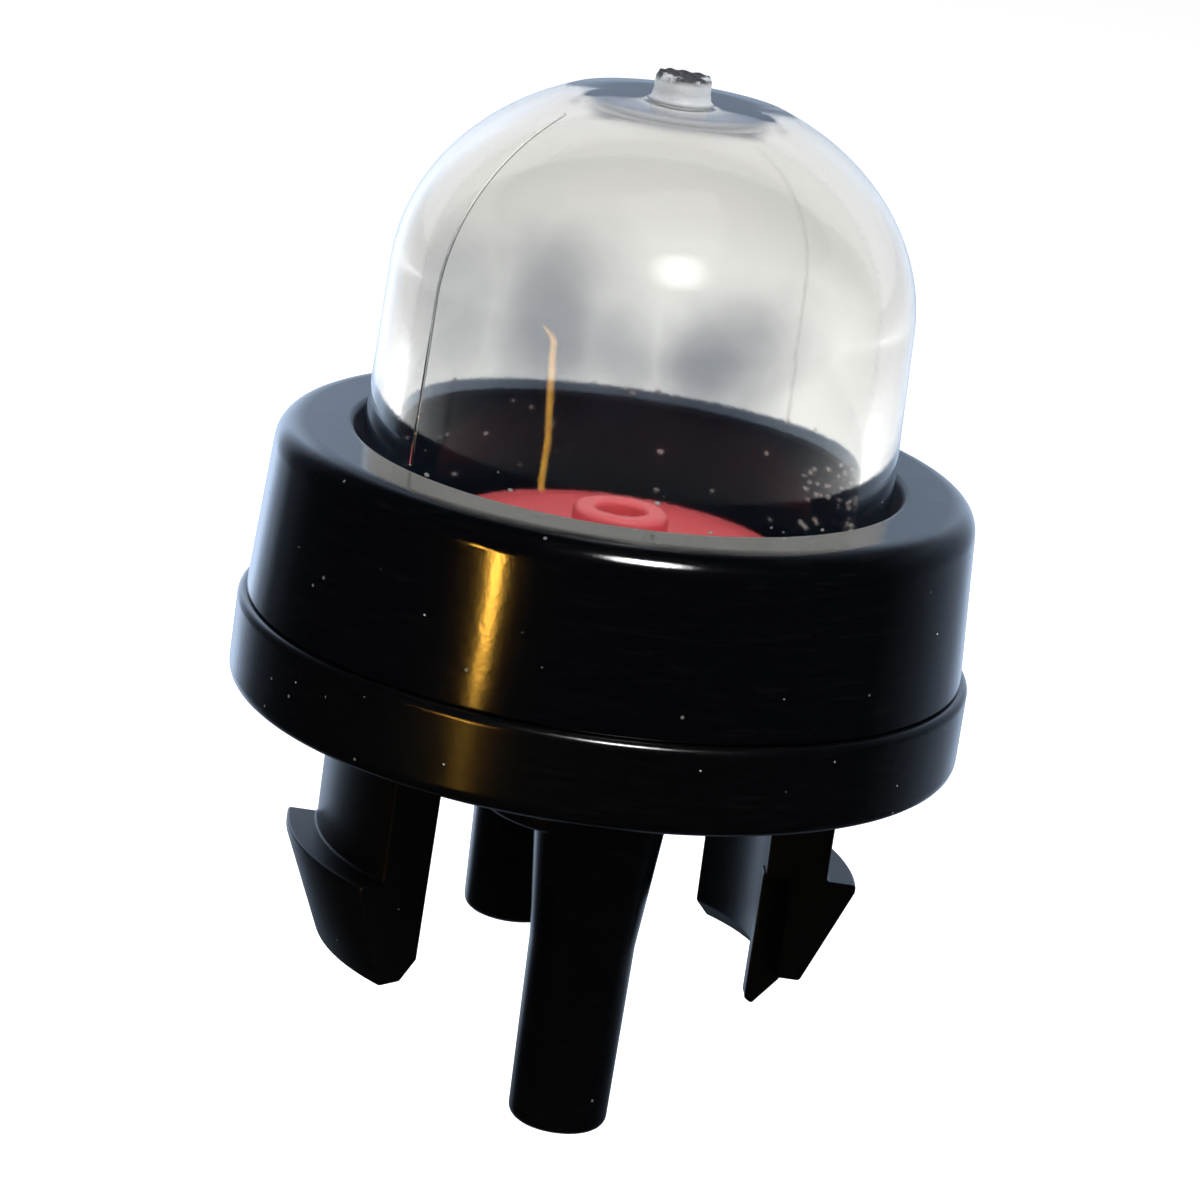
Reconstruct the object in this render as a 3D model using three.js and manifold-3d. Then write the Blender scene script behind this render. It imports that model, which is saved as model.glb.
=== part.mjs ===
// Snap-in primer bulb: a clear squeeze dome held on a black base by a black ring.
// One red rubber valve stands on the base inside the dome.
// Frame: millimetres, +Z up. The dome's axis is the Z axis and the flange's underside is z = 0.
// The two snap legs stand on the X axis and the two hose nozzles on the Y axis.
import * as THREE from "three";
import Module from "manifold-3d";

const wasm = await Module();
wasm.setup();

// Base flange. Its underside bears on the panel that the bulb is pressed into.
const FLANGE_D = 22.0;
const FLANGE_T = 2.7;
const FLANGE_LOW_EDGE = 0.4; // rounding of the lower rim
const FLANGE_TOP_EDGE = 0.25; // rounding of the upper rim

// Retaining ring, which stands on the flange.
const RING_H = 5.4;
const RING_INSET = 0.24; // step in from the flange's rim
const RING_DRAFT = 0.34; // how much less the outer radius is at the top
const RING_TOP_EDGE = 0.8; // rounding of the outer top edge
const RING_LIP_EDGE = 0.2; // chamfer around the hole
const RING_SKIRT = 1.06; // wall around the dome's foot
const HOLE_GAP = 0.28; // play between the hole and the dome
const FIT_GAP = 0.3; // play between parts that pass each other

// Dome.
const DOME_D = 15.8; // where it leaves the ring
const DOME_TAPER = 0.14; // radius lost from the ring to the shoulder
const DOME_WALL = 1.0;
const DOME_SHOULDER = 4.75; // height of the straight part above the ring
const DOME_CAP = 6.45; // height of the rounded part
const DOME_FOOT_T = 1.5; // thickness of the foot flange under the ring
const DIMPLE_D = 5.5;
const DIMPLE_DEPTH = 0.14;
const NUB_D = 1.6;
const NUB_H = 0.75; // above the dimple's floor

// Valve seat and housing, both part of the base.
const SEAT_H = 2.1; // above the flange's top
const SEAT_LAND = 0.6; // width that the disc bears on, outside the channel
const CHANNEL_DEPTH = 2.5;
const HOUSING_WALL = 0.9; // around the duckbill, and below it
const CHAMBER_DEPTH = 2.2; // below the flange's underside

// Snap legs.
const LEG_ARC = 47; // degrees around the axis
const LEG_D = 15.6; // over the two shafts
const LEG_WALL = 1.95; // at the flange
const LEG_INNER_DRAFT = 0.15; // how much thinner the wall is at the leg's bottom
const LEG_GRIP = 4.3; // from the flange's underside to the barb's ledge
const LEG_H = 7.6;
const BARB = 0.9; // how far the barb stands out
const BARB_EDGE = 0.25; // height of the barb's upright edge
const LEG_LEAD_IN = 0.35; // how far inside the shaft's face the barb's slope ends
const LEG_INNER_CHAMFER = 0.6;
const PRONG_ARC = 8; // degrees, at one end of each leg
const PRONG_H = 0.95; // how far the prong reaches below the leg
const PRONG_T = 1.0;

// Hose nozzles.
const NOZZLE_D = 3.0; // at the tip
const NOZZLE_DRAFT = 0.1; // how much greater the radius is at the flange
const NOZZLE_BORE = 1.6;
const NOZZLE_TIP_EDGE = 0.45; // rounding of the outer edge at the tip
const LONG_NOZZLE_H = 12.5; // below the flange's underside
const LONG_NOZZLE_OFFSET = 1.72;
const LONG_NOZZLE_FLARE = 0.66; // how much greater still the radius is at the long nozzle's root
const FLARE_H = 6.6; // height of the flare below the flange
const SHORT_NOZZLE_H = 7.9;
const SHORT_NOZZLE_OFFSET = 4.0;

// Valve.
const DISC_D = 11.2;
const DISC_T = 0.8;
const COLLAR_D = 2.9;
const COLLAR_H = 0.9; // above the disc
const VALVE_HOLE = 1.5;
const STEM_D = 2.5;
const SEAT_WEB = 1.0; // thickness of the web that the stem passes through
const BEAD_D = 3.7;
const BEAD_H = 0.4;
const BILL_D = 3.2;
const BILL_BODY = 2.8; // straight part below the bead
const BILL_LIPS = 2.4; // height of the tapering lips
const BILL_EDGE = 0.5; // thickness of the lips at their end

const ROUND = 96; // sides of a large circle
const FINE_ROUND = 48; // sides of a small circle
const LEG_STEPS = 12;

// Heights and radii that follow from the sizes above.
const flangeR = FLANGE_D / 2;
const ringTop = FLANGE_T + RING_H;
const ringR = flangeR - RING_INSET;
const footTop = FLANGE_T + DOME_FOOT_T;
const footR = ringR - RING_SKIRT - FIT_GAP;
const domeR = DOME_D / 2;
const shoulderR = domeR - DOME_TAPER;
const shoulderZ = ringTop + DOME_SHOULDER;
const seatTop = FLANGE_T + SEAT_H;
const seatR = domeR - DOME_WALL - FIT_GAP;
const chamberR = BEAD_D / 2 + FIT_GAP;
const channelOuterR = DISC_D / 2 - SEAT_LAND;
const channelInnerR = chamberR + 0.5;
const beadTop = seatTop - SEAT_WEB;
const beadBottom = beadTop - BEAD_H;
const lipsTop = beadBottom - BILL_BODY;
const lipsEnd = lipsTop - BILL_LIPS;
const discTop = seatTop + DISC_T;

// A closed solid through a row of outlines with equal point counts, with flat ends.
function lofted(outlines, endFaces) {
  const count = outlines[0].length;
  const points = outlines.flat();
  const faces = [];
  for (let k = 0; k + 1 < outlines.length; k++) {
    for (let i = 0; i < count; i++) {
      const a = k * count + i;
      const b = k * count + ((i + 1) % count);
      faces.push([a, b, b + count], [a, b + count, a + count]);
    }
  }
  const last = (outlines.length - 1) * count;
  for (const [a, b, c] of endFaces) {
    faces.push([a, c, b], [last + a, last + b, last + c]);
  }
  return closedSolid(points, faces);
}

// Faces are turned to point outwards when the row of outlines was given the other way round.
function closedSolid(points, faces) {
  let volume = 0;
  for (const [a, b, c] of faces) {
    const p = new THREE.Vector3(...points[a]);
    const q = new THREE.Vector3(...points[b]);
    const r = new THREE.Vector3(...points[c]);
    volume += p.dot(q.cross(r));
  }
  const turned = volume < 0 ? faces.map(([a, b, c]) => [a, c, b]) : faces;
  const mesh = new wasm.Mesh({
    numProp: 3,
    vertProperties: new Float32Array(points.flat()),
    triVerts: new Uint32Array(turned.flat()),
  });
  return new wasm.Manifold(mesh);
}

// Triangles that fill a flat outline, turned the same way round as its points.
function flatFaces(outline) {
  const flat = outline.map(([u, v]) => new THREE.Vector2(u, v));
  const faces = THREE.ShapeUtils.triangulateShape(flat, []);
  const clockwise = THREE.ShapeUtils.isClockWise(flat);
  return clockwise ? faces.map(([a, b, c]) => [a, c, b]) : faces;
}

// A solid of revolution about an upright axis through (x, y). The profile is a row of [radius, height].
function spun(profile, sides = ROUND, x = 0, y = 0) {
  const circle = (radius, z) => {
    const outline = [];
    for (let i = 0; i < sides; i++) {
      const angle = (2 * Math.PI * i) / sides;
      outline.push([x + radius * Math.cos(angle), y + radius * Math.sin(angle), z]);
    }
    return outline;
  };
  const outlines = profile.map(([radius, z]) => circle(radius, z));
  return lofted(outlines, flatFaces(circle(1, 0)));
}

// A part turn of a closed section about the Z axis, between two angles in degrees.
function sector(section, from, to, steps) {
  const outlines = [];
  for (let k = 0; k <= steps; k++) {
    const angle = THREE.MathUtils.degToRad(from + ((to - from) * k) / steps);
    outlines.push(section.map(([r, z]) => [r * Math.cos(angle), r * Math.sin(angle), z]));
  }
  return lofted(outlines, flatFaces(section));
}

// Points of a quarter-turn rounding between two angles in degrees, about (r, z).
function arc(r, z, radius, from, to, steps) {
  const points = [];
  for (let k = 0; k <= steps; k++) {
    const angle = THREE.MathUtils.degToRad(from + ((to - from) * k) / steps);
    points.push([r + radius * Math.cos(angle), z + radius * Math.sin(angle)]);
  }
  return points;
}

function joined(solids) {
  return solids.reduce((sum, solid) => sum.add(solid));
}

function cut(solid, tools) {
  return tools.reduce((rest, tool) => rest.subtract(tool), solid);
}

function flange() {
  const low = FLANGE_LOW_EDGE;
  const top = FLANGE_TOP_EDGE;
  return spun([
    ...arc(flangeR - low, low, low, -90, 0, 4),
    ...arc(flangeR - top, FLANGE_T - top, top, 0, 90, 3),
  ]);
}

// The seat stands inside the dome's foot, with a small chamfer around its top.
function seat() {
  const chamfer = 0.3;
  return spun([
    [seatR, FLANGE_T / 2],
    [seatR, seatTop - chamfer],
    [seatR - chamfer, seatTop],
  ]);
}

// The round housing around the duckbill, under the flange.
function housing() {
  const radius = chamberR + HOUSING_WALL;
  const bottom = -CHAMBER_DEPTH - HOUSING_WALL;
  return spun(
    [
      [radius - 0.3, bottom],
      [radius, bottom + 0.3],
      [radius + 0.1, FLANGE_T / 2],
    ],
    FINE_ROUND,
  );
}

// The section of a leg in the plane through the axis, from the flange down and back up inside.
function legSection() {
  const outer = LEG_D / 2;
  const inner = outer - LEG_WALL;
  const low = inner + LEG_INNER_DRAFT;
  const tip = outer - LEG_LEAD_IN;
  return [
    [outer, FLANGE_T / 2],
    [outer, -LEG_GRIP],
    [outer + BARB, -LEG_GRIP],
    [outer + BARB, -LEG_GRIP - BARB_EDGE],
    [tip, -LEG_H],
    [low + LEG_INNER_CHAMFER, -LEG_H],
    [low, LEG_INNER_CHAMFER - LEG_H],
    [inner, FLANGE_T / 2],
  ];
}

// A short pointed prong at the inner corner of the leg.
function prongSection() {
  const inner = LEG_D / 2 - LEG_WALL;
  return [
    [inner + PRONG_T, -LEG_GRIP],
    [inner + PRONG_T, -LEG_H],
    [inner + PRONG_T / 4, -LEG_H - PRONG_H],
    [inner, -LEG_H - PRONG_H * 0.85],
    [inner, -LEG_GRIP],
  ];
}

// One leg about the given angle, with its prong at the end that comes first going anticlockwise.
function leg(middle) {
  const from = middle - LEG_ARC / 2;
  const body = sector(legSection(), from, from + LEG_ARC, LEG_STEPS);
  const prong = sector(prongSection(), from, from + PRONG_ARC, 3);
  return body.add(prong);
}

// A nozzle with a slight draft. The flare widens its root over the given height.
function nozzle(offset, height, flare, flareHeight) {
  const tip = NOZZLE_D / 2;
  const edge = NOZZLE_TIP_EDGE;
  const root = tip + NOZZLE_DRAFT;
  return spun(
    [
      ...arc(tip - edge, edge - height, edge, -90, 0, 4),
      [root, -flareHeight],
      [root + flare, 0],
      [root + flare, FLANGE_T / 2],
    ],
    FINE_ROUND,
    0,
    offset,
  );
}

function bore(offset, height, top) {
  return spun(
    [
      [NOZZLE_BORE / 2, -height - 1],
      [NOZZLE_BORE / 2, top],
    ],
    24,
    0,
    offset,
  );
}

// The chamber around the duckbill, and the smaller hole for the stem above it.
function chamber() {
  const stemHole = STEM_D / 2 + FIT_GAP;
  const room = spun(
    [
      [chamberR, -CHAMBER_DEPTH],
      [chamberR, beadTop],
    ],
    FINE_ROUND,
  );
  const neck = spun(
    [
      [stemHole, beadTop - 0.5],
      [stemHole, seatTop + 1],
    ],
    FINE_ROUND,
  );
  return room.add(neck);
}

// The channel under the disc, which the short nozzle leads into.
function channel() {
  const outer = spun([
    [channelOuterR, seatTop - CHANNEL_DEPTH],
    [channelOuterR, seatTop + 1],
  ], FINE_ROUND);
  const inner = spun([
    [channelInnerR, seatTop - CHANNEL_DEPTH - 1],
    [channelInnerR, seatTop + 2],
  ], FINE_ROUND);
  return outer.subtract(inner);
}

function base() {
  const solid = joined([
    flange(),
    seat(),
    housing(),
    leg(0),
    leg(180),
    nozzle(-LONG_NOZZLE_OFFSET, LONG_NOZZLE_H, LONG_NOZZLE_FLARE, FLARE_H),
    nozzle(SHORT_NOZZLE_OFFSET, SHORT_NOZZLE_H, 0, SHORT_NOZZLE_H / 2),
  ]);
  return cut(solid, [
    chamber(),
    channel(),
    bore(-LONG_NOZZLE_OFFSET, LONG_NOZZLE_H, 0.1 - CHAMBER_DEPTH),
    bore(SHORT_NOZZLE_OFFSET, SHORT_NOZZLE_H, seatTop - CHANNEL_DEPTH + 0.5),
  ]);
}

function retainingRing() {
  const edge = RING_TOP_EDGE;
  const lip = RING_LIP_EDGE;
  const holeR = domeR + HOLE_GAP;
  const body = spun([
    [ringR - 0.1, FLANGE_T],
    [ringR, FLANGE_T + 0.1],
    ...arc(ringR - RING_DRAFT - edge, ringTop - edge, edge, 3, 90, 6),
  ]);
  const foot = spun([
    [footR + FIT_GAP, FLANGE_T - 1],
    [footR + FIT_GAP, footTop],
  ]);
  const hole = spun([
    [holeR, FLANGE_T - 2],
    [holeR, ringTop - lip],
    [holeR + lip, ringTop],
    [holeR + lip, ringTop + 1],
  ]);
  return cut(body, [foot, hole]);
}

// Points up the quarter ellipse of the dome, from the shoulder to a radius near the crown.
function capPoints(radius, height, z, endRadius, steps) {
  const last = Math.acos(endRadius / radius);
  const points = [];
  for (let k = 1; k <= steps; k++) {
    const angle = (last * k) / steps;
    points.push([radius * Math.cos(angle), z + height * Math.sin(angle)]);
  }
  return points;
}

function bulb() {
  const dimpleR = DIMPLE_D / 2;
  const nubR = NUB_D / 2;
  const outerCap = capPoints(shoulderR, DOME_CAP, shoulderZ, dimpleR, 14);
  const rimZ = outerCap[outerCap.length - 1][1];
  const floorZ = rimZ - DIMPLE_DEPTH;
  const outside = spun([
    [footR, FLANGE_T],
    [footR, footTop],
    [domeR, footTop],
    [domeR, ringTop],
    [shoulderR, shoulderZ],
    ...outerCap,
    [dimpleR - 0.35, floorZ],
    [nubR * 1.1, floorZ + 0.05],
    [nubR, floorZ + NUB_H],
  ]);
  const innerCap = DOME_CAP - DOME_WALL;
  const inside = spun([
    [domeR - DOME_WALL, FLANGE_T - 1],
    [domeR - DOME_WALL, ringTop],
    [shoulderR - DOME_WALL, shoulderZ],
    ...capPoints(shoulderR - DOME_WALL, innerCap, shoulderZ, 0.6, 12),
  ]);
  return outside.subtract(inside);
}

// The two lips close from a round body to a flat edge along X.
function bill() {
  const radius = BILL_D / 2;
  const outline = (width, depth, z) => {
    const points = [];
    for (let i = 0; i < FINE_ROUND; i++) {
      const angle = (2 * Math.PI * i) / FINE_ROUND;
      points.push([width * Math.cos(angle), depth * Math.sin(angle), z]);
    }
    return points;
  };
  const faces = flatFaces(outline(1, 1, 0));
  return lofted(
    [
      outline(radius, radius, beadBottom + BEAD_H / 2),
      outline(radius, radius, lipsTop),
      outline(radius, BILL_EDGE / 2, lipsEnd),
    ],
    faces,
  );
}

function valve() {
  const disc = spun([
    [DISC_D / 2, seatTop],
    [DISC_D / 2, discTop - 0.15],
    [DISC_D / 2 - 0.15, discTop],
  ], FINE_ROUND);
  const collar = spun([
    [COLLAR_D / 2, seatTop + DISC_T / 2],
    [COLLAR_D / 2, discTop + COLLAR_H - 0.25],
    [COLLAR_D / 2 - 0.25, discTop + COLLAR_H],
  ], FINE_ROUND);
  const stem = spun([
    [STEM_D / 2, beadBottom + BEAD_H / 2],
    [STEM_D / 2, seatTop + DISC_T / 2],
  ], FINE_ROUND);
  const bead = spun([
    [BEAD_D / 2, beadBottom],
    [BEAD_D / 2, beadTop],
  ], FINE_ROUND);
  const hole = spun([
    [VALVE_HOLE / 2, lipsTop],
    [VALVE_HOLE / 2, discTop + COLLAR_H + 1],
  ], 24);
  return cut(joined([disc, collar, stem, bead, bill()]), [hole]);
}

// A named mesh with its own colour. Glossy parts have a low roughness.
function piece(name, solid, look) {
  const mesh = solid.getMesh();
  const geometry = new THREE.BufferGeometry();
  const positions = new THREE.BufferAttribute(mesh.vertProperties, 3);
  geometry.setAttribute("position", positions);
  geometry.setIndex(new THREE.BufferAttribute(mesh.triVerts, 1));
  geometry.computeVertexNormals();
  const made = new THREE.Mesh(geometry, new THREE.MeshStandardMaterial(look));
  made.name = name;
  return made;
}

const primerBulb = new THREE.Group();
primerBulb.name = "primer_bulb";
primerBulb.add(
  piece("base", base(), { color: 0x15161a, roughness: 0.25 }),
  piece("retaining_ring", retainingRing(), { color: 0x17181c, roughness: 0.2 }),
  piece("bulb", bulb(), { color: 0xdfe0dc, roughness: 0.08, transparent: true, opacity: 0.35 }),
  piece("valve", valve(), { color: 0xb0161c, roughness: 0.45 }),
);

export default primerBulb;
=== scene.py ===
"""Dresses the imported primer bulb: clear dome, black ring and base, red valve, dust and a studio."""

import math

import bmesh
import bpy
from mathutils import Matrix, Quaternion, Vector


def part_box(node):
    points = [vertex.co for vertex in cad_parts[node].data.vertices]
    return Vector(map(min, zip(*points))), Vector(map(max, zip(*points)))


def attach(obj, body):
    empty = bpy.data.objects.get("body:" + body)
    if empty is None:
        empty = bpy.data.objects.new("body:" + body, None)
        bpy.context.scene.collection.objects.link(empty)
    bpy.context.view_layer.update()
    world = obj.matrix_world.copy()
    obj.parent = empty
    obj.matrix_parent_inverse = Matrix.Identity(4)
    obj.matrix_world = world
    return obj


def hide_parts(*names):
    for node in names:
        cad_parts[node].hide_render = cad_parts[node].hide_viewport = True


bl_info = {
    "name": "Primer Bulb",
    "version": (1, 0, 0),
    "blender": (4, 5, 0),
    "location": "View3D > Sidebar > Primer Bulb",
    "description": "Makes a snap-in primer bulb with a clear dome on its packed frame",
    "category": "Object",
}

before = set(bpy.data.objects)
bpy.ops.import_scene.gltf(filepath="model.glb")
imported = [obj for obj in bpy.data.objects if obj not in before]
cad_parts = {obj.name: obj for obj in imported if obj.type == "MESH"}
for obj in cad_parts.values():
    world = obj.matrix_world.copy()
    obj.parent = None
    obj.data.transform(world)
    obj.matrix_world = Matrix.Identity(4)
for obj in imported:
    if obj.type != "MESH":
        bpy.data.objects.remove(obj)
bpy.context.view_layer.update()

MM = 0.001
FLANGE_LOW, FLANGE_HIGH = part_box("base")
RING_LOW, RING_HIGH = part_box("retaining_ring")
DOME_LOW, DOME_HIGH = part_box("bulb")
VALVE_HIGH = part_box("valve")[1]

# The dome's foot, which the ring clamps
FOOT_RADIUS, FOOT_HEIGHT = 9.4 * MM, 1.5 * MM
RING_HEIGHT = 5.4 * MM
LEG_HALF_ANGLE, PRONG_ANGLE = math.radians(23.5), math.radians(8)
LONG_NOZZLE_AT, SHORT_NOZZLE_AT = (0, -1.72 * MM, 0), (0, 4.0 * MM, 0)

# Sides of the turned pieces
WIDE_SIDES, DOME_SIDES, DISC_SIDES, NARROW_SIDES, NUB_SIDES = 200, 192, 96, 64, 48

WHITE = (1.0, 1.0, 1.0, 1.0)
DUST_ON_BLACK = (0.09, 0.09, 0.085)
# Painted bluish sheen for the inner wall of the ring
INNER_WALL_PAINTED_SHEEN = (0.002, 0.02, 0.055)

# Painted dark reflections on the dome, in soft clouds: a place, how far the cloud reaches, and how
# dense it is
PAINTED_REFLECTION_CLOUDS = (
    ((-0.0054, -0.0055, 0.0128), 0.0044, 0.9),
    ((-0.0034, -0.0068, 0.0130), 0.0032, 0.75),
    ((-0.0072, -0.0022, 0.0124), 0.0042, 0.6),
    ((-0.0006, -0.0077, 0.0135), 0.0033, 1.0),
)

# Brightness of the round card, by degrees from the side of the camera
CARD_TONES = (
    (-180, 0.5), (-164, 0.9), (-148, 1.8), (-137, 0.7), (-126, 0.1), (-110, 0.015), (-92, 0.0),
    (90, 0.0), (104, 0.06), (116, 0.16), (138, 0.4), (156, 0.95), (170, 0.6), (180, 0.5),
)
CARD_TINT = (0.76, 0.95, 1.25)

# The bends of the amber card: height in mm, and degrees from the side of the camera
AMBER_BENDS = (
    (-17, -34.5), (-14, -34), (-12.4, -35.5), (-10, -31), (-8, -35), (-5.5, -33), (0, -33),
    (4, -37), (7, -41),
)
CARD_DISTANCE = 60 * MM


# Properties


def length(name, description, default):
    """A length in metres, shown to a hundredth of a millimetre."""
    return bpy.props.FloatProperty(
        name=name, description=description, default=default, unit="LENGTH", precision=5, min=0.0
    )


def colour(name, description, default):
    return bpy.props.FloatVectorProperty(
        name=name, description=description, default=default, subtype="COLOR", size=3,
        min=0.0, max=1.0
    )


def turn(name, description, degrees):
    return bpy.props.FloatProperty(
        name=name, description=description, default=math.radians(degrees), subtype="ANGLE"
    )


def number(name, description, default):
    return bpy.props.FloatProperty(name=name, description=description, default=default, min=0.0)


class BaseSettings(bpy.types.PropertyGroup):
    flange_radius: length("Flange radius", "Outer radius of the flange", FLANGE_HIGH.x)
    flange_thickness: length("Flange thickness", "From the underside to the ring", RING_LOW.z)
    seat_radius: length("Seat radius", "Radius of the raised seat inside the dome", 6.6 * MM)
    seat_top: length("Seat top", "Height of the seat above the flange's underside", 4.8 * MM)
    leg_radius: length("Leg radius", "Outer radius of the leg shafts", 7.8 * MM)
    leg_wall: length("Leg wall", "Thickness of a leg at the flange", 1.95 * MM)
    leg_grip: length("Grip", "From the underside to the ledge of a leg", 4.3 * MM)
    leg_height: length("Leg height", "From the underside to the end of a leg", 7.6 * MM)
    barb: length("Barb", "How far the ledge stands out", 0.9 * MM)
    long_nozzle: length("Long nozzle", "Length of the long nozzle", -FLANGE_LOW.z)
    short_nozzle: length("Short nozzle", "Length of the short nozzle", 7.9 * MM)
    nozzle_radius: length("Nozzle radius", "Outer radius at the tip", 1.5 * MM)
    bore_radius: length("Bore radius", "Radius of the hole in a nozzle", 0.8 * MM)
    black: colour("Black", "Colour of the base", (0.0011, 0.0013, 0.0018))


class RingSettings(bpy.types.PropertyGroup):
    low_radius: length("Lower radius", "Outer radius at the flange", RING_HIGH.x)
    draft: length("Draft", "How much less the radius is at the top", 0.34 * MM)
    top_rounding: length("Top rounding", "Radius of the outer top edge", 0.85 * MM)
    hole_radius: length("Hole radius", "Radius of the hole around the dome", 8.18 * MM)
    top: length("Top", "Height of the ring's top", RING_HIGH.z)
    black: colour("Black", "Colour of the ring", (0.0011, 0.0013, 0.0019))


class DomeSettings(bpy.types.PropertyGroup):
    radius: length("Radius", "Outer radius where the dome leaves the ring", 7.9 * MM)
    taper: length("Taper", "Radius lost from the ring to the shoulder", 0.14 * MM)
    wall: length("Wall", "Thickness of the dome's wall", 1.0 * MM)
    shoulder: length("Shoulder", "Height where the rounding begins", 12.85 * MM)
    cap: length("Cap", "Height of the rounded part", 6.45 * MM)
    dimple_radius: length("Dimple radius", "Radius of the dimple at the crown", 2.7 * MM)
    nub_radius: length("Nub radius", "Radius of the gate nub", 0.8 * MM)
    top: length("Top", "Height of the gate nub's end", DOME_HIGH.z)
    seam_angles: bpy.props.FloatVectorProperty(
        name="Seams", description="Where the two mould lines are", size=2, subtype="EULER",
        default=(math.radians(-165.0), math.radians(25.0)),
    )
    tint: colour("Tint", "Colour of the clear plastic", (0.84, 0.838, 0.815))
    # Colour of a faint random haze, and also of the painted dark reflections and painted shade on the
    # dome
    haze_and_painted_shade: colour("Haze and painted shade", "Colour of the haze, the painted dark reflections and the painted crown shade", (0.24, 0.255, 0.285))


class ValveSettings(bpy.types.PropertyGroup):
    disc_radius: length("Disc radius", "Radius of the disc", VALVE_HIGH.x)
    disc_top: length("Disc top", "Height of the disc's top", 5.6 * MM)
    collar_radius: length("Collar radius", "Radius of the raised collar", 1.45 * MM)
    hole_radius: length("Hole radius", "Radius of the hole in the collar", 0.75 * MM)
    red: colour("Red", "Colour of the rubber", (0.88, 0.1, 0.125))


class DustSettings(bpy.types.PropertyGroup):
    seed: bpy.props.IntProperty(name="Seed", description="Places of the specks", default=7)
    size: length("Size", "Radius of a large speck", 0.055 * MM)


class StudioSettings(bpy.types.PropertyGroup):
    azimuth: turn("Azimuth", "Where the camera stands", -24.0)
    elevation: turn("Elevation", "How high the camera looks from", 17.4)
    roll: turn("Roll", "Lean of the picture", 8.25)
    distance: length("Distance", "From the camera to the flange", 140.0 * MM)
    lens: number("Lens", "Focal length", 139.6)
    floor_height: length("Drop", "How far the floor lies below the flange", 45.0 * MM)
    floor_colour: colour("Floor colour", "Colour of the floor", (0.9, 0.9, 0.9))
    key_glow: number("Key glow", "Brightness of the soft box", 60.0)
    amber_glow: number("Amber", "Brightness of the amber card", 7.0)


# Shader node groups and materials


def new_group(name, inputs, outputs):
    """An empty shader node group. Returns the tree, the values it is given and its end."""
    tree = bpy.data.node_groups.new(name, "ShaderNodeTree")
    for label, kind, value in inputs:
        socket = tree.interface.new_socket(label, in_out="INPUT", socket_type=kind)
        socket.default_value = value
    for label, kind in outputs:
        tree.interface.new_socket(label, in_out="OUTPUT", socket_type=kind)
    return tree, tree.nodes.new("NodeGroupInput").outputs, tree.nodes.new("NodeGroupOutput")


def feed(tree, node, inputs):
    """Sets inputs of a node. Each is a value, an output socket, or a node for its first output."""
    for key, value in inputs.items():
        if isinstance(value, bpy.types.Node):
            value = value.outputs[0]
        if isinstance(value, bpy.types.NodeSocket):
            tree.links.new(value, node.inputs[key])
        else:
            node.inputs[key].default_value = value


def add_node(tree, kind, settings=None, inputs=None):
    """A node with its settings and its inputs."""
    made = tree.nodes.new(kind)
    for key, value in (settings or {}).items():
        setattr(made, key, value)
    feed(tree, made, inputs or {})
    return made


def maths(tree, operation, *values, clamp=False):
    settings = {"operation": operation, "use_clamp": clamp}
    return add_node(tree, "ShaderNodeMath", settings, dict(enumerate(values))).outputs[0]


def vector_maths(tree, operation, *values):
    made = add_node(tree, "ShaderNodeVectorMath", {"operation": operation}, dict(enumerate(values)))
    return made.outputs["Value" if operation in ("LENGTH", "DISTANCE") else "Vector"]


def map_range(tree, value, start, end, low=0.0, high=1.0, smooth=False):
    """Runs from low to high while the value runs from start to end."""
    settings = {"interpolation_type": "SMOOTHSTEP" if smooth else "LINEAR"}
    made = add_node(tree, "ShaderNodeMapRange", settings, {
        "Value": value, "From Min": start, "From Max": end, "To Min": low, "To Max": high})
    return made.outputs[0]


def mixed(tree, factor, first, second):
    """A mix of two colours, each of them three numbers or an output socket."""
    colours = [c if isinstance(c, bpy.types.NodeSocket) else (*c, 1.0) for c in (first, second)]
    return add_node(tree, "ShaderNodeMix", {"data_type": "RGBA"}, {
        "Factor": factor, 6: colours[0], 7: colours[1]}).outputs[2]


def noise_texture(tree, at, scale, detail=2.0, roughness=0.5, distortion=0.0, colour=False):
    made = add_node(tree, "ShaderNodeTexNoise", inputs={
        "Vector": at, "Scale": scale, "Detail": detail, "Roughness": roughness,
        "Distortion": distortion})
    return made.outputs["Color" if colour else "Fac"]


def seen_directly(tree):
    """1 for camera, transmission and glossy rays, and 0 for the rays that only carry light."""
    path = tree.nodes.new("ShaderNodeLightPath").outputs
    straight = maths(tree, "MAXIMUM", path["Is Camera Ray"], path["Is Transmission Ray"])
    return maths(tree, "MAXIMUM", straight, path["Is Glossy Ray"])


def moulded_skin_group():
    """Uneven gloss and faint waves of a moulded surface."""
    tree, given, out = new_group(
        "Moulded skin",
        [("Vector", "NodeSocketVector", (0, 0, 0)), ("Roughness", "NodeSocketFloat", 0.2),
         ("Spread", "NodeSocketFloat", 0.08), ("Wave scale", "NodeSocketFloat", 220.0)],
        [("Roughness", "NodeSocketFloat"), ("Height", "NodeSocketFloat")],
    )
    at = given["Vector"]
    waves = noise_texture(tree, at, given["Wave scale"], detail=3.0)
    fine = noise_texture(tree, at, 5200.0, detail=4.0, roughness=0.65)
    centred = maths(tree, "SUBTRACT", waves, 0.5)
    spread = maths(tree, "MULTIPLY_ADD", centred, given["Spread"], given["Roughness"])
    height = maths(tree, "MULTIPLY_ADD", fine, 0.12, waves)
    feed(tree, out, {"Roughness": spread, "Height": height})
    return tree


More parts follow.
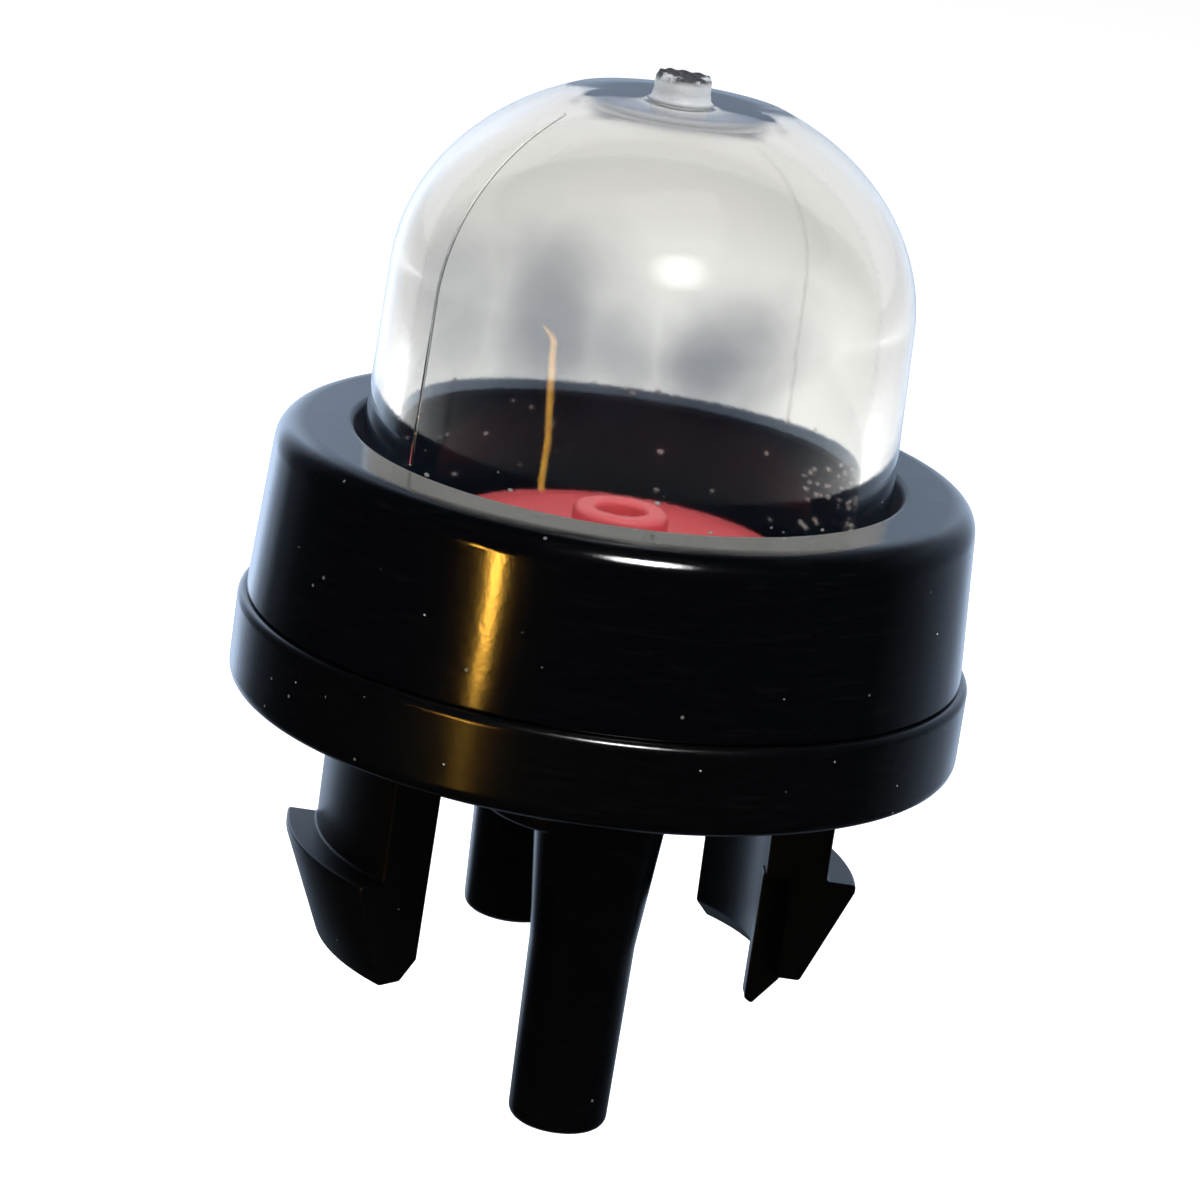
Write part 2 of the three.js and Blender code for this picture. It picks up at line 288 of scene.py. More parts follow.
def dust_film_group():
    """A thin film of dust: small soft dots, thicker in patches."""
    tree, given, out = new_group(
        "Dust film",
        [("Vector", "NodeSocketVector", (0, 0, 0)), ("Scale", "NodeSocketFloat", 2400.0),
         ("Size", "NodeSocketFloat", 0.16), ("Patches", "NodeSocketFloat", 0.5)],
        [("Mask", "NodeSocketFloat")],
    )
    at = given["Vector"]
    cells = add_node(tree, "ShaderNodeTexVoronoi", {"feature": "F1"}, {
        "Vector": at, "Scale": given["Scale"]})
    dots = maths(tree, "LESS_THAN", cells.outputs["Distance"], given["Size"])
    patches = noise_texture(tree, at, 420.0, detail=3.0)
    thick = maths(tree, "GREATER_THAN", patches, given["Patches"])
    mask = maths(tree, "MULTIPLY", dots, thick)
    feed(tree, out, {"Mask": mask})
    return tree


def scratches_group():
    """Fine scratches that run along the two flat directions of a part."""
    tree, given, out = new_group(
        "Fine scratches",
        [("Vector", "NodeSocketVector", (0, 0, 0)),
         ("Stretch", "NodeSocketVector", (300.0, 300.0, 5000.0)),
         ("Width", "NodeSocketFloat", 0.02)],
        [("Mask", "NodeSocketFloat")],
    )
    stretched = vector_maths(tree, "MULTIPLY", given["Vector"], given["Stretch"])
    noise = noise_texture(tree, stretched, 1.0, detail=2.0, distortion=0.6)
    centred = maths(tree, "SUBTRACT", noise, 0.5)
    line = maths(tree, "ABSOLUTE", centred)
    thin = maths(tree, "LESS_THAN", line, given["Width"])
    feed(tree, out, {"Mask": thin})
    return tree


def shared_tree(name):
    """One of the node groups, built the first time that it is asked for."""
    return bpy.data.node_groups.get(name) or TREE_MAKERS[name]()


def placed_group(tree, name, inputs):
    return add_node(tree, "ShaderNodeGroup", {"node_tree": shared_tree(name)}, inputs)


def started_material(name, shown):
    """A material with a bare Principled BSDF. Returns it, its tree, the shader and coordinates."""
    material = bpy.data.materials.new(name)
    material.use_nodes = True
    material.diffuse_color = (*shown, 1.0)
    tree = material.node_tree
    shader = tree.nodes["Principled BSDF"]
    coordinates = tree.nodes.new("ShaderNodeTexCoord").outputs["Object"]
    return material, tree, shader, coordinates


def glowing(name, light):
    """A material that gives light and reflects none. Returns what started_material returns."""
    material, tree, shader, coordinates = started_material(name, light)
    feed(tree, shader, {
        "Base Color": (0, 0, 0, 1), "Specular IOR Level": 0.0, "Emission Color": (*light, 1.0)})
    return material, tree, shader, coordinates


def add_bump(tree, shader, height, distance, strength):
    bump = add_node(tree, "ShaderNodeBump", inputs={
        "Height": height, "Distance": distance, "Strength": strength})
    feed(tree, shader, {"Normal": bump.outputs["Normal"]})


def black_plastic(name, black, roughness, dust_scale, dull_and_sheen_inside=0.0):
    """Glossy black plastic with a faint wave, fine scratches and dust.

    Nearer to the axis than the last argument, a radius, it is dull and painted with a bluish sheen.
    """
    material, tree, shader, at = started_material(name, black)
    skin = placed_group(
        tree, "Moulded skin", {"Vector": at, "Roughness": roughness, "Spread": 0.08})
    film = {"Vector": at, "Scale": dust_scale, "Size": 0.09, "Patches": 0.6}
    dust = placed_group(tree, "Dust film", film).outputs["Mask"]
    scratch = placed_group(tree, "Fine scratches", {"Vector": at}).outputs["Mask"]
    marks = maths(tree, "MULTIPLY_ADD", scratch, 0.012, dust, clamp=True)
    paint = mixed(tree, marks, black, DUST_ON_BLACK)
    rough = maths(tree, "MULTIPLY_ADD", dust, 0.4, skin.outputs["Roughness"])
    # Painted sheen: inside that radius the colour is mixed towards a dark blue, and the surface is
    # also made rougher
    if dull_and_sheen_inside:
        away = vector_maths(tree, "LENGTH", vector_maths(tree, "MULTIPLY", at, (1, 1, 0)))
        dull = map_range(tree, away, dull_and_sheen_inside, dull_and_sheen_inside + 0.15 * MM, low=0.6, high=0.0)
        rough = maths(tree, "ADD", rough, dull, clamp=True)
        paint = mixed(tree, maths(tree, "MULTIPLY", dull, 1.6), paint, INNER_WALL_PAINTED_SHEEN)
    feed(tree, shader, {"Base Color": paint, "Roughness": rough, "IOR": 1.5})
    add_bump(tree, shader, skin.outputs["Height"], 0.00005, 0.45)
    return material


def clear_plastic(name, tint, haze_and_painted_shade):
    """Clear, slightly warm polyurethane: a faint random haze, painted dark reflections in soft
    clouds, painted shade around the dimple, and a gentle wave in its surface.
    """
    material, tree, shader, at = started_material(name, tint)
    skin = placed_group(tree, "Moulded skin", {
        "Vector": at, "Roughness": 0.045, "Spread": 0.03, "Wave scale": 160.0})
    noise = noise_texture(tree, at, 170.0, detail=3.0, colour=True)
    centred = vector_maths(tree, "SUBTRACT", noise, (0.5, 0.5, 0.5))
    bent = vector_maths(tree, "MULTIPLY_ADD", centred, (0.005, 0.005, 0.005), at)
    thin = noise_texture(tree, at, 90.0, detail=2.0)
    mask = map_range(tree, thin, 0.55, 0.85, high=0.3)
    # Painted dark reflections: soft dark clouds at fixed places on the dome's front, added to the
    # random haze mask
    for place, reach, depth in PAINTED_REFLECTION_CLOUDS:
        away = vector_maths(tree, "DISTANCE", bent, place)
        cloud = map_range(tree, away, reach * 0.15, reach, low=depth, high=0.0, smooth=True)
        mask = maths(tree, "MAXIMUM", mask, cloud)
    # Painted shade: a soft darker ring around the dimple at the crown, joined into the same mask as
    # the haze
    rise = vector_maths(tree, "DISTANCE", at, (0, 0, 0.0188))
    inner = map_range(tree, rise, 0.0009, 0.0020, smooth=True)
    outer = map_range(tree, rise, 0.0026, 0.0031, low=1.0, high=0.0, smooth=True)
    crown = maths(tree, "MULTIPLY", inner, outer)
    mask = maths(tree, "MAXIMUM", mask, crown)
    paint = mixed(tree, mask, tint, haze_and_painted_shade)
    feed(tree, shader, {
        "Base Color": paint, "Roughness": skin.outputs["Roughness"], "Transmission Weight": 1.0,
        "Specular Tint": (0.14, 0.14, 0.14, 1.0), "IOR": 1.46})
    add_bump(tree, shader, skin.outputs["Height"], 0.00003, 0.25)
    return material


def red_rubber(name, red):
    """Satin red rubber, a little uneven in colour."""
    material, tree, shader, at = started_material(name, red)
    skin = placed_group(tree, "Moulded skin", {
        "Vector": at, "Roughness": 0.36, "Spread": 0.15, "Wave scale": 600.0})
    dust = placed_group(
        tree, "Dust film", {"Vector": at, "Scale": 2600.0, "Size": 0.12, "Patches": 0.55})
    mottle = noise_texture(tree, at, 500.0, detail=4.0)
    pale = tuple(min(0.93, c * 1.1 + 0.05) for c in red)
    paint = mixed(tree, mottle, red, pale)
    dusted = mixed(tree, dust.outputs["Mask"], paint, (0.75, 0.4, 0.38))
    feed(tree, shader, {"Base Color": dusted, "Roughness": skin.outputs["Roughness"]})
    add_bump(tree, shader, skin.outputs["Height"], 0.00003, 0.3)
    return material


def torn_plastic(name, top):
    """Frosted side and dark, rough end of the gate nub."""
    material, tree, shader, at = started_material(name, (0.4, 0.41, 0.42))
    tear = noise_texture(tree, at, 1500.0, detail=6.0, roughness=0.7)
    parts = add_node(tree, "ShaderNodeSeparateXYZ", inputs={0: at}).outputs
    height = map_range(tree, parts[2], top - 0.2 * MM, top - 0.05 * MM)
    dark = map_range(tree, tear, 0.37, 0.46)
    share = maths(tree, "MULTIPLY", height, dark)
    paint = mixed(tree, share, (0.44, 0.46, 0.48), (0.03, 0.03, 0.035))
    feed(tree, shader, {"Base Color": paint, "Roughness": 0.6})
    add_bump(tree, shader, tear, 0.0001, 0.5)
    return material


def dust_speck(name):
    """Pale grey dust."""
    material, tree, shader, at = started_material(name, (0.6, 0.6, 0.58))
    tone = noise_texture(tree, at, 3000.0)
    paint = mixed(tree, tone, (0.42, 0.42, 0.42), (0.85, 0.86, 0.88))
    feed(tree, shader, {"Base Color": paint, "Roughness": 0.8})
    return material


# Geometry node trees


def geometry_tree(name, inputs):
    """An empty geometry tree that takes a mesh. Returns the same as new_group."""
    tree = bpy.data.node_groups.new(name, "GeometryNodeTree")
    tree.interface.new_socket("Geometry", in_out="INPUT", socket_type="NodeSocketGeometry")
    for label, kind in inputs:
        tree.interface.new_socket(label, in_out="INPUT", socket_type=kind)
    tree.interface.new_socket("Geometry", in_out="OUTPUT", socket_type="NodeSocketGeometry")
    return tree, tree.nodes.new("NodeGroupInput").outputs, tree.nodes.new("NodeGroupOutput")


def end_tree(tree, given, out, geometry):
    """Every tree ends in real geometry with its material."""
    real = add_node(tree, "GeometryNodeRealizeInstances", inputs={"Geometry": geometry})
    painted = add_node(tree, "GeometryNodeSetMaterial", inputs={
        "Geometry": real, "Material": given["Material"]})
    feed(tree, out, {"Geometry": painted})


def turned_tree():
    """Turns a profile of (radius, height) points about the Z axis."""
    tree, given, out = geometry_tree(
        "Turned profile", [("Sides", "NodeSocketInt"), ("Material", "NodeSocketMaterial")])
    geometry = given["Geometry"]
    size = add_node(tree, "GeometryNodeAttributeDomainSize", inputs={"Geometry": geometry})
    count = size.outputs["Point Count"]
    columns = maths(tree, "ADD", given["Sides"], 1.0)
    grid = add_node(tree, "GeometryNodeMeshGrid", inputs={
        "Size X": 1.0, "Size Y": 1.0, "Vertices X": columns, "Vertices Y": count})
    index = tree.nodes.new("GeometryNodeInputIndex")
    share = maths(tree, "DIVIDE", index, count)
    column = maths(tree, "FLOOR", share)
    row = maths(tree, "MODULO", index, count)
    place = tree.nodes.new("GeometryNodeInputPosition")
    sample = add_node(tree, "GeometryNodeSampleIndex", {"data_type": "FLOAT_VECTOR"}, {
        "Geometry": geometry, "Value": place, "Index": row})
    parts = add_node(tree, "ShaderNodeSeparateXYZ", inputs={0: sample}).outputs
    turn = maths(tree, "DIVIDE", column, given["Sides"])
    angle = maths(tree, "MULTIPLY", turn, 2 * math.pi)
    cosine = maths(tree, "COSINE", angle)
    sine = maths(tree, "SINE", angle)
    x = maths(tree, "MULTIPLY", parts[0], cosine)
    y = maths(tree, "MULTIPLY", parts[0], sine)
    point = add_node(tree, "ShaderNodeCombineXYZ", inputs={0: x, 1: y, 2: parts[2]})
    bent = add_node(tree, "GeometryNodeSetPosition", inputs={
        "Geometry": grid.outputs["Mesh"], "Position": point})
    closed = add_node(tree, "GeometryNodeMergeByDistance", inputs={
        "Geometry": bent, "Distance": 1e-7})
    smooth = add_node(tree, "GeometryNodeSetShadeSmooth", inputs={"Geometry": closed})
    end_tree(tree, given, out, smooth)
    return tree


def around_tree():
    """Sets equal copies of a piece around the Z axis."""
    tree, given, out = geometry_tree(
        "Around the axis", [("Count", "NodeSocketInt"), ("Material", "NodeSocketMaterial")])
    points = add_node(tree, "GeometryNodePoints", inputs={"Count": given["Count"]})
    index = tree.nodes.new("GeometryNodeInputIndex")
    share = maths(tree, "DIVIDE", index, given["Count"])
    angle = maths(tree, "MULTIPLY", share, 2 * math.pi)
    turn = add_node(tree, "ShaderNodeCombineXYZ", inputs={2: angle})
    copies = add_node(tree, "GeometryNodeInstanceOnPoints", inputs={
        "Points": points, "Instance": given["Geometry"], "Rotation": turn})
    end_tree(tree, given, out, copies)
    return tree


def ridge_tree():
    """Lays a thin round ridge along each edge path."""
    tree, given, out = geometry_tree(
        "Mould ridge", [("Radius", "NodeSocketFloat"), ("Material", "NodeSocketMaterial")])
    path = add_node(tree, "GeometryNodeMeshToCurve", inputs={"Mesh": given["Geometry"]})
    circle = add_node(tree, "GeometryNodeCurvePrimitiveCircle", inputs={
        "Resolution": 8, "Radius": given["Radius"]})
    tube = add_node(tree, "GeometryNodeCurveToMesh", inputs={
        "Curve": path, "Profile Curve": circle, "Fill Caps": True})
    smooth = add_node(tree, "GeometryNodeSetShadeSmooth", inputs={"Geometry": tube})
    end_tree(tree, given, out, smooth)
    return tree


def specks_tree():
    """Scatters small flattened specks over a surface."""
    tree, given, out = geometry_tree(
        "Scattered specks",
        [("Density", "NodeSocketFloat"), ("Size", "NodeSocketFloat"), ("Seed", "NodeSocketInt"),
         ("Material", "NodeSocketMaterial")])
    points = add_node(tree, "GeometryNodeDistributePointsOnFaces", inputs={
        "Mesh": given["Geometry"], "Density": given["Density"], "Seed": given["Seed"]})
    speck = add_node(tree, "GeometryNodeMeshIcoSphere", inputs={
        "Radius": given["Size"], "Subdivisions": 1})
    scale = add_node(tree, "FunctionNodeRandomValue", {"data_type": "FLOAT"}, {
        2: 0.25, 3: 1.0, "Seed": 11})
    cubed = maths(tree, "POWER", scale.outputs[1], 2.2)
    longer = maths(tree, "MULTIPLY", cubed, 2.2)
    flat = maths(tree, "MULTIPLY", cubed, 0.8)
    wide = maths(tree, "MULTIPLY", cubed, 1.5)
    sizes = add_node(tree, "ShaderNodeCombineXYZ", inputs={0: longer, 1: wide, 2: flat})
    copies = add_node(tree, "GeometryNodeInstanceOnPoints", inputs={
        "Points": points.outputs["Points"], "Instance": speck.outputs["Mesh"],
        "Rotation": points.outputs["Rotation"], "Scale": sizes})
    end_tree(tree, given, out, copies)
    return tree


TREE_MAKERS = {
    "Moulded skin": moulded_skin_group,
    "Dust film": dust_film_group,
    "Fine scratches": scratches_group,
    "Turned profile": turned_tree,
    "Around the axis": around_tree,
    "Mould ridge": ridge_tree,
    "Scattered specks": specks_tree,
}


# Mesh helpers


def new_object(name, mesh):
    made = bpy.data.objects.new(name, mesh)
    bpy.context.scene.collection.objects.link(made)
    return made


def mesh_of(name, points, edges=(), faces=()):
    mesh = bpy.data.meshes.new(name)
    mesh.from_pydata(points, edges, faces)
    return mesh


def mesh_from(bm, name):
    """The mesh of a bmesh, which is freed."""
    mesh = bpy.data.meshes.new(name)
    bm.to_mesh(mesh)
    bm.free()
    return mesh


def about_axis(radius, angle, height):
    """The point at a radius, an angle about Z and a height."""
    return (radius * math.cos(angle), radius * math.sin(angle), height)


def join_rows(bm, rows):
    """Faces between neighbouring rows of vertices, and one over each end."""
    count = len(rows[0])
    for one, two in zip(rows, rows[1:]):
        for i in range(count):
            j = (i + 1) % count
            bm.faces.new((one[i], one[j], two[j], two[i]))
    bm.faces.new(rows[0])
    bm.faces.new(list(reversed(rows[-1])))
    bmesh.ops.recalc_face_normals(bm, faces=bm.faces)


def add_nodes(piece, tree_name, values):
    """Adds a geometry tree to a piece and sets its inputs by their identifiers."""
    modifier = piece.modifiers.new(tree_name, "NODES")
    modifier.node_group = shared_tree(tree_name)
    for item in modifier.node_group.interface.items_tree:
        if item.in_out == "INPUT" and item.name in values:
            modifier[item.identifier] = values[item.name]


def plain(piece, name, outward=True):
    """The evaluated piece as a plain mesh under its final name. The first object is removed."""
    graph = bpy.context.evaluated_depsgraph_get()
    mesh = bpy.data.meshes.new_from_object(piece.evaluated_get(graph), depsgraph=graph)
    bpy.data.objects.remove(piece)
    mesh.name = name
    if outward:
        face_outwards(mesh)
    return new_object(name, mesh)


def face_outwards(mesh):
    bm = bmesh.new()
    bm.from_mesh(mesh)
    bmesh.ops.recalc_face_normals(bm, faces=bm.faces)
    bm.to_mesh(mesh)
    bm.free()


def rounded(corners, steps=6, support=0.02 * MM):
    """A row of (radius, height) points through corners (r, z, rounding), which become arcs."""
    points = [Vector(corners[0][:2])]
    for before, corner, after in zip(corners, corners[1:], corners[2:]):
        here = Vector(corner[:2])
        back, on = Vector(before[:2]) - here, Vector(after[:2]) - here
        reach = min(back.length, on.length) * 0.49
        back.normalize()
        on.normalize()
        half = back.angle(on, math.pi) / 2
        if corner[2] <= 0 or half > 1.565:
            points.append(here)
            continue
        run = min(corner[2] / math.tan(half), reach)
        radius = run * math.tan(half)
        centre = here + (back + on).normalized() * (radius / math.sin(half))
        start, end = here + back * run - centre, here + on * run - centre
        sweep = start.angle(end)
        side = 1 if start.x * end.y - start.y * end.x > 0 else -1
        if reach > run + support:
            points.append(here + back * (run + support))
        for k in range(steps + 1):
            a = side * sweep * k / steps
            points.append(centre + Vector((
                start.x * math.cos(a) - start.y * math.sin(a),
                start.x * math.sin(a) + start.y * math.cos(a))))
        if reach > run + support:
            points.append(here + on * (run + support))
    points.append(Vector(corners[-1][:2]))
    return [(p.x, p.y) for p in points]


def turned(name, profile, material, sides, offset=(0, 0, 0)):
    """A turned piece from a row of (radius, height) points."""
    edges = [(i, i + 1) for i in range(len(profile) - 1)]
    source = new_object(name + "_profile", mesh_of(name, [(r, 0, z) for r, z in profile], edges))
    add_nodes(source, "Turned profile", {"Sides": sides, "Material": material})
    made = plain(source, name)
    for vertex in made.data.vertices:
        vertex.co += Vector(offset)
    return made


def finish_piece(piece, slot, *nodes):
    """Puts a piece on the part, and hides the nodes that it stands for."""
    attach(piece, "root")
    if nodes:
        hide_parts(*nodes)


# Profiles and sections


def flange_profile(s):
    return rounded([
        (0, 0, 0),
        (s.flange_radius, 0, 0.45 * MM),
        (s.flange_radius, s.flange_thickness, 0.25 * MM),
        (s.seat_radius, s.flange_thickness, 0.1 * MM),
        (s.seat_radius, s.seat_top, 0.3 * MM),
        (0, s.seat_top, 0),
    ])


def ring_profile(s):
    """A closed row around the ring's section. It stops just short of its first point."""
    groove = FOOT_RADIUS + 0.3 * MM
    foot_top = DOME_LOW.z + FOOT_HEIGHT
    top_radius = s.low_radius - s.draft
    low = s.top - RING_HEIGHT
    mid = (s.hole_radius, (foot_top + s.top) / 2)
    return rounded([
        (*mid, 0),
        (s.hole_radius, foot_top, 0.1 * MM),
        (groove, foot_top, 0.05 * MM),
        (groove, low, 0.05 * MM),
        (s.low_radius, low, 0.12 * MM),
        (top_radius, s.top, s.top_rounding),
        (s.hole_radius, s.top, 0.2 * MM),
        (*mid, 0),
    ], steps=8)


def cap_points(radius, height, base, end_radius, steps):
    last = math.acos(end_radius / radius)
    return [(radius * math.cos(last * k / steps), base + height * math.sin(last * k / steps))
            for k in range(1, steps + 1)]


def dome_outside(s, ring_top):
    """The outer profile from the ring up to the dimple's rim."""
    shoulder = s.radius - s.taper
    wall = [(s.radius, DOME_LOW.z + FOOT_HEIGHT), (s.radius, ring_top)]
    for k in range(1, 5):
        wall.append((s.radius - s.taper * k / 4, ring_top + (s.shoulder - ring_top) * k / 4))
    return wall + cap_points(shoulder, s.cap, s.shoulder, s.dimple_radius, 30)


def dome_profile(s, ring_top):
    """From the nub's end down the outside, around the foot and up the inside to the pole."""
    foot_low = (FOOT_RADIUS, DOME_LOW.z, 0.15 * MM)
    foot_high = (FOOT_RADIUS, DOME_LOW.z + FOOT_HEIGHT, 0.15 * MM)
    outside = dome_outside(s, ring_top)
    floor = s.top - 0.75 * MM
    crown = rounded([
        (0, s.top, 0),
        (s.nub_radius, s.top, 0.08 * MM),
        (s.nub_radius, floor, 0.1 * MM),
        (s.dimple_radius - 0.25 * MM, floor - 0.01 * MM, 2.5 * MM),
        (*outside[-3], 0),
    ])
    inner = s.radius - s.wall
    inner_shoulder = s.radius - s.taper - s.wall
    inside = cap_points(inner_shoulder, s.cap - s.wall, s.shoulder, 0.9 * MM, 26)
    pole_height = s.shoulder + (s.cap - s.wall)
    neck = rounded([
        (*outside[1], 0),
        (s.radius, foot_high[1], 0.2 * MM),
        foot_high,
        foot_low,
        (inner, DOME_LOW.z, 0.1 * MM),
        (inner, ring_top, 0),
    ])
    boss = [(r * MM, pole_height - drop * MM)
            for r, drop in ((0.75, 0.12), (0.6, 0.3), (0.3, 0.36), (0, 0.37))]
    return crown[:-1] + list(reversed(outside[2:-2])) + neck + inside + boss


def nozzle_profile(radius, bore, height, flare, flare_height):
    """A blunt tube below the flange, whose bore ends inside. Its foot is hidden in the flange."""
    root, bore_end, hidden = radius + 0.1 * MM, -1.2 * MM, 0.5 * MM
    foot = root + flare + 0.6 * MM
    return rounded([
        (0, bore_end, 0),
        (bore, bore_end, 0.1 * MM),
        (bore, -height, 0.15 * MM),
        (radius, -height, 0.48 * MM),
        (root, -flare_height, 2.0 * MM),
        (root + flare, 0.03 * MM, 0.35 * MM),
        (foot, 0.06 * MM, 0),
        (foot, hidden, 0),
        (0, hidden, 0),
    ])


def housing_profile():
    return rounded([
        (0, -3.1 * MM, 0),
        (3.05 * MM, -3.1 * MM, 0.3 * MM),
        (3.12 * MM, 0.03 * MM, 0.3 * MM),
        (3.8 * MM, 0.06 * MM, 0),
        (3.8 * MM, 0.5 * MM, 0),
        (0, 0.5 * MM, 0),
    ])


def valve_profile(s):
    seat = s.disc_top - 0.8 * MM
    collar_top = s.disc_top + 0.9 * MM
    hole_end, stem_end, bead_end, bill_end = (seat - drop * MM for drop in (4.0, 1.0, 1.4, 4.4))
    stem, bead, bill = 1.25 * MM, 1.85 * MM, 1.6 * MM
    return rounded([
        (0, hole_end, 0),
        (s.hole_radius, hole_end, 0.1 * MM),
        (s.hole_radius, collar_top, 0.18 * MM),
        (s.collar_radius, collar_top, 0.22 * MM),
        (s.collar_radius, s.disc_top, 0.3 * MM),
        (s.disc_radius * 0.8, s.disc_top - 0.02 * MM, 1.0 * MM),
        (s.disc_radius, s.disc_top - 0.2 * MM, 0.15 * MM),
        (s.disc_radius, seat, 0.1 * MM),
        (stem, seat, 0.1 * MM),
        (stem, stem_end, 0.05 * MM),
        (bead, stem_end, 0.1 * MM),
        (bead, bead_end, 0.1 * MM),
        (bill, bead_end, 0.05 * MM),
        (bill, bill_end, 0),
        (0, bill_end, 0),
    ])


def leg_section(s):
    outer, inner = s.leg_radius, s.leg_radius - s.leg_wall
    low = inner + 0.15 * MM
    return [
        (outer + 0.35 * MM, 0.05 * MM), (outer + 0.1 * MM, -0.12 * MM), (outer, -0.4 * MM),
        (outer, -s.leg_grip), (outer + s.barb, -s.leg_grip),
        (outer + s.barb, -s.leg_grip - 0.25 * MM), (7.45 * MM, -s.leg_height),
        (low + 0.6 * MM, -s.leg_height), (low, 0.6 * MM - s.leg_height),
        (inner, -0.3 * MM), (inner - 0.25 * MM, 0.05 * MM), (inner - 0.25 * MM, 0.6 * MM),
        (outer + 0.35 * MM, 0.6 * MM),
    ]


def prong_section(s):
    inner = s.leg_radius - s.leg_wall
    low = -s.leg_height
    return [
        (inner + 1.0 * MM, -s.leg_grip), (inner + 1.0 * MM, low),
        (inner + 0.25 * MM, low - 0.95 * MM), (inner, low - 0.8 * MM), (inner, -s.leg_grip),
    ]


def swept_section(bm, section, start, end, steps):
    """Adds a section in the (radius, height) plane, swept about Z between two angles."""
    angles = [start + (end - start) * k / steps for k in range(steps + 1)]
    join_rows(bm, [[bm.verts.new(about_axis(r, a, z)) for r, z in section] for a in angles])


def add_bevel(piece, width, segments):
    bevel = piece.modifiers.new("Moulded edges", "BEVEL")
    bevel.width = width
    bevel.segments = segments
    bevel.limit_method = "ANGLE"
    bevel.angle_limit = math.radians(25)
    bevel.harden_normals = True


# Operators


class PRIMER_OT_base(bpy.types.Operator):
    """Make the flange with its seat, the valve housing and the two nozzles"""

    bl_idname = "primer.make_base"
    bl_label = "Make base"

    def execute(self, context):
        s = context.scene.primer_base
        black = black_plastic("black_base_plastic", tuple(s.black), 0.2, 1900.0)
        flange = turned("base_flange", flange_profile(s), black, WIDE_SIDES)
        finish_piece(flange, "base_black", "base")
        housing = turned("valve_housing", housing_profile(), black, NARROW_SIDES)
        finish_piece(housing, "base_black")
        for name, length_down, flare, flare_height, offset in (
            ("long_nozzle", s.long_nozzle, 0.66 * MM, 6.6 * MM, LONG_NOZZLE_AT),
            ("short_nozzle", s.short_nozzle, 0, 4.0 * MM, SHORT_NOZZLE_AT),
        ):
            profile = nozzle_profile(
                s.nozzle_radius, s.bore_radius, length_down, flare, flare_height)
            finish_piece(turned(name, profile, black, NARROW_SIDES, offset), "base_black")
        return {"FINISHED"}


class PRIMER_OT_legs(bpy.types.Operator):
    """Make the two snap legs with their barbs and prongs"""

    bl_idname = "primer.make_legs"
    bl_label = "Make snap legs"

    def execute(self, context):
        s = context.scene.primer_base
        black = black_plastic("black_leg_plastic", tuple(s.black), 0.36, 2100.0)
        bm = bmesh.new()
        swept_section(bm, leg_section(s), -LEG_HALF_ANGLE, LEG_HALF_ANGLE, 24)
        swept_section(bm, prong_section(s), -LEG_HALF_ANGLE, PRONG_ANGLE - LEG_HALF_ANGLE, 5)
        mesh = mesh_from(bm, "snap_leg")
        source = new_object("snap_leg_source", mesh)
        mesh.shade_smooth()
        add_nodes(source, "Around the axis", {"Count": 2, "Material": black})
        add_bevel(source, 0.09 * MM, 3)
        finish_piece(plain(source, "snap_legs", outward=False), "base_black")
        return {"FINISHED"}


class PRIMER_OT_ring(bpy.types.Operator):
    """Make the black ring that clamps the dome"""

    bl_idname = "primer.make_ring"
    bl_label = "Make retaining ring"

    def execute(self, context):
        s = context.scene.primer_ring
        black = black_plastic("black_ring_plastic", tuple(s.black), 0.11, 1700.0, s.hole_radius)
        ring = turned("clamping_ring", ring_profile(s), black, WIDE_SIDES)
        finish_piece(ring, "ring_black", "retaining_ring")
        return {"FINISHED"}


class PRIMER_OT_dome(bpy.types.Operator):
    """Make the clear dome with its foot, dimple, gate nub and mould lines"""

    bl_idname = "primer.make_dome"
    bl_label = "Make dome"

    def execute(self, context):
        s = context.scene.primer_dome
        ring_top = context.scene.primer_ring.top
        clear = clear_plastic("clear_dome_plastic", tuple(s.tint), tuple(s.haze_and_painted_shade))
        dome = turned("clear_dome", dome_profile(s, ring_top), clear, DOME_SIDES)
        finish_piece(dome, "bulb_clear", "bulb")
        self.make_mould_lines(s, ring_top, clear)
        self.make_gate_scar(s)
        return {"FINISHED"}

    def make_mould_lines(self, s, ring_top, clear):
        """Two thin ridges up the outside, from the ring to just below the crown."""
        profile = dome_outside(s, ring_top)[1:-5]
        points = [about_axis(r, angle, z) for angle in s.seam_angles for r, z in profile]
        edges = [(i, i + 1) for i in range(len(points) - 1) if (i + 1) % len(profile)]
        source = new_object("mould_path", mesh_of("mould_path", points, edges))
        add_nodes(source, "Mould ridge", {"Radius": 0.055 * MM, "Material": clear})
        finish_piece(plain(source, "mould_lines"), "bulb_clear")

    def make_gate_scar(self, s):
        """The frosted skin and the torn, dark end of the nub, as one thin cap."""
        torn = torn_plastic("torn_gate_plastic", s.top)
        r, low, end = s.nub_radius, s.top - 0.77 * MM, s.top - 0.06 * MM
        profile = [
            (0, end), (r - 0.02 * MM, end), (r - 0.02 * MM, low), (r + 0.2 * MM, low),
            (r + 0.08 * MM, low + 0.1 * MM), (r + 0.03 * MM, low + 0.33 * MM),
            (r + 0.02 * MM, s.top - 0.1 * MM), (r * 0.95, s.top + 0.02 * MM),
        ]
        profile += [(r * share, s.top + 0.03 * MM) for share in (0.8, 0.65, 0.5, 0.35, 0.2, 0.0)]
        scar = turned("gate_scar", profile, torn, NUB_SIDES)
        for vertex in scar.data.vertices:
            if vertex.co.z > s.top:
                wave = math.sin(vertex.co.x * 9000.0) * math.cos(vertex.co.y * 11000.0 + 0.7)
                vertex.co.z += wave * 0.05 * MM
        finish_piece(scar, "bulb_clear")


